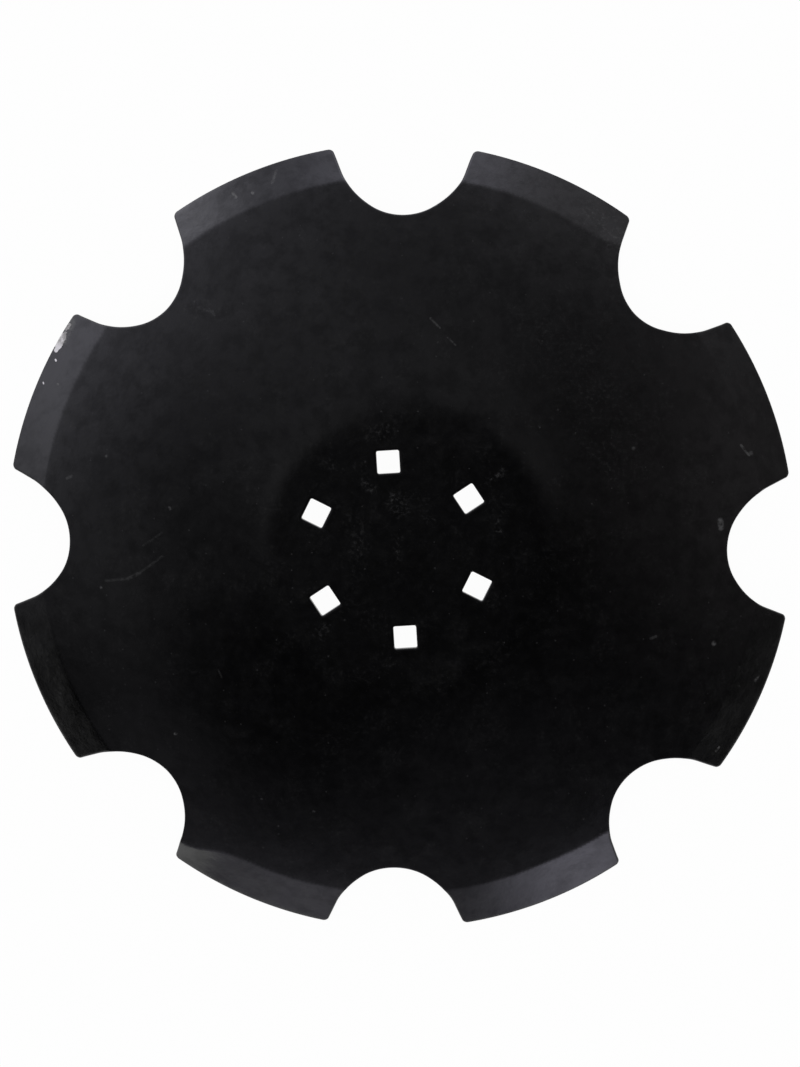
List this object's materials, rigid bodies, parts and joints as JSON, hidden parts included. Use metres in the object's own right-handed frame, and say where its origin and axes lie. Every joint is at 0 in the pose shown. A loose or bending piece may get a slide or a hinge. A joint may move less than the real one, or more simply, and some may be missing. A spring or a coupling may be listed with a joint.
{
  "type": "notched harrow disc blade",
  "caption": "Dished round steel blade with a notched bevelled rim and square bolt holes in its flat centre, for tillage.",
  "frame": {"origin": "on the axis of the dish, in the plane that the teeth rest on", "axes": "+Z along the axis of the dish, out of its convex side; +X through the middle of a notch"},
  "size_m": [0.55, 0.55, 0.0743],
  "materials": {
    "black_paint": "dark satin paint over pressed steel, worn a little at the rim"
  },
  "bodies": {
    "root": {"disc_blade": "black_paint"}
  },
  "joints": []
}
